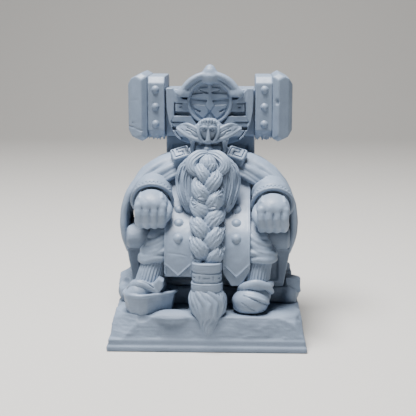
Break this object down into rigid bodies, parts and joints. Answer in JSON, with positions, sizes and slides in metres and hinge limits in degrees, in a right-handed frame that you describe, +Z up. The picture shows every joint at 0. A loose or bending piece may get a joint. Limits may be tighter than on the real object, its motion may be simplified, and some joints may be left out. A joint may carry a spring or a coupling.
{
  "type": "seated dwarf king miniature",
  "caption": "Unpainted resin miniature of a braided-bearded dwarf king seated on a throne backed by a huge war-hammer head, on a rocky plinth.",
  "frame": {"origin": "centre of the bounding box's underside, on the plinth's flat underside", "axes": "+Z up, the figure looks along -Y, +X is to the viewer's right when looking at its face"},
  "size_m": [0.032, 0.03, 0.0448],
  "materials": {
    "stone": "matte bare casting resin, rough-hewn",
    "hair": "matte bare casting resin, grooved",
    "skin": "matte bare casting resin, smooth",
    "cloth": "matte bare casting resin, draped",
    "leather": "matte bare casting resin, smooth",
    "ironwork": "matte bare casting resin, crisp edges"
  },
  "bodies": {
    "root": {"armrest_left": "stone", "armrest_right": "stone", "base": "stone", "beard": "hair", "beard_ring": "ironwork", "beard_tuft": "hair", "boot_cuff_left": "leather", "boot_cuff_right": "leather", "boulder_left": "stone", "boulder_right": "stone", "braid": "hair", "chin_tuft": "hair", "clasp_left": "ironwork", "clasp_right": "ironwork", "cloak_left": "cloth", "cloak_right": "cloth", "collar_rivet_left_1": "ironwork", "collar_rivet_left_2": "ironwork", "collar_rivet_left_3": "ironwork", "collar_rivet_right_1": "ironwork", "collar_rivet_right_2": "ironwork", "collar_rivet_right_3": "ironwork", "crest_arch": "ironwork", "crest_medallion": "ironwork", "crest_plate_left": "ironwork", "crest_plate_right": "ironwork", "cuff_left": "ironwork", "cuff_right": "ironwork", "dais": "stone", "fist_left": "skin", "fist_right": "skin", "hammer_collar_left": "ironwork", "hammer_collar_right": "ironwork", "hammer_core": "ironwork", "hammer_face_left": "ironwork", "hammer_face_right": "ironwork", "head": "skin", "helmet": "ironwork", "helmet_mask": "ironwork", "helmet_wing_left": "ironwork", "helmet_wing_right": "ironwork", "moustache_left": "hair", "moustache_right": "hair", "robe": "cloth", "shin_left": "cloth", "shin_right": "cloth", "shoe_left": "leather", "shoe_right": "leather", "sleeve_left": "cloth", "sleeve_right": "cloth", "strap_left": "leather", "strap_right": "leather", "strap_rivet_left_1": "ironwork", "strap_rivet_left_2": "ironwork", "strap_rivet_left_3": "ironwork", "strap_rivet_right_1": "ironwork", "strap_rivet_right_2": "ironwork", "strap_rivet_right_3": "ironwork", "throne_back": "stone", "throne_seat": "stone"}
  },
  "joints": []
}
